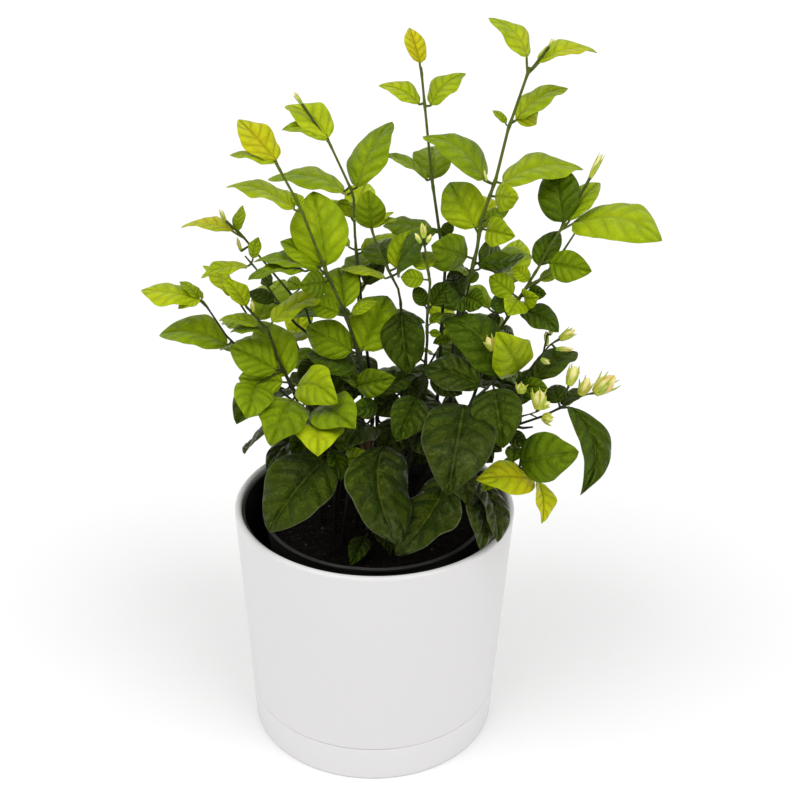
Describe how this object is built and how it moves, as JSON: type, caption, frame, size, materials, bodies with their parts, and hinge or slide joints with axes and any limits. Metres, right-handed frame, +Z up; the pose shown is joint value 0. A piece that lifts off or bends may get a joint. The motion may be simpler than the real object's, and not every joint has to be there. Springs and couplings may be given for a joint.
{
  "type": "potted arabian jasmine",
  "caption": "Leafy arabian jasmine with clusters of cream buds, in a black nursery pot set inside a plain round white planter with a saucer base.",
  "frame": {"origin": "on the floor under the middle of the planter's saucer, at the centre of its flat underside", "axes": "+Z up, -Y towards the picture's camera, +X to the right in the picture"},
  "size_m": [0.314, 0.2422, 0.4777],
  "materials": {
    "white_plastic": "satin",
    "black_plastic": "satin",
    "potting_mix": "rough, damp",
    "old_bark": "rough",
    "leaf": "semi-gloss",
    "bud": "satin"
  },
  "bodies": {
    "root": {"back_inner_stem": "leaf", "back_left_stem": "leaf", "back_low_left_stem": "leaf", "back_low_right_stem": "leaf", "back_right_stem": "leaf", "back_stem": "leaf", "bud_spray_far_right": "bud", "bud_spray_low": "bud", "bud_spray_right": "bud", "bud_spray_top": "bud", "bud_stem": "leaf", "centre_tall_stem": "leaf", "far_left_stem": "leaf", "far_right_stem": "leaf", "front_stem": "leaf", "left_back_stem": "leaf", "left_middle_stem": "leaf", "left_tall_stem": "leaf", "nursery_pot": "black_plastic", "old_trunk": "old_bark", "planter": "white_plastic", "planter_liner": "black_plastic", "planter_saucer": "white_plastic", "pot_front_stem": "leaf", "pot_left_stem": "leaf", "potting_soil": "potting_mix", "right_bottom_stem": "leaf", "right_low_stem": "leaf", "right_stem": "leaf", "right_tall_stem": "leaf", "second_tall_stem": "leaf", "upper_middle_stem": "leaf"}
  },
  "joints": []
}
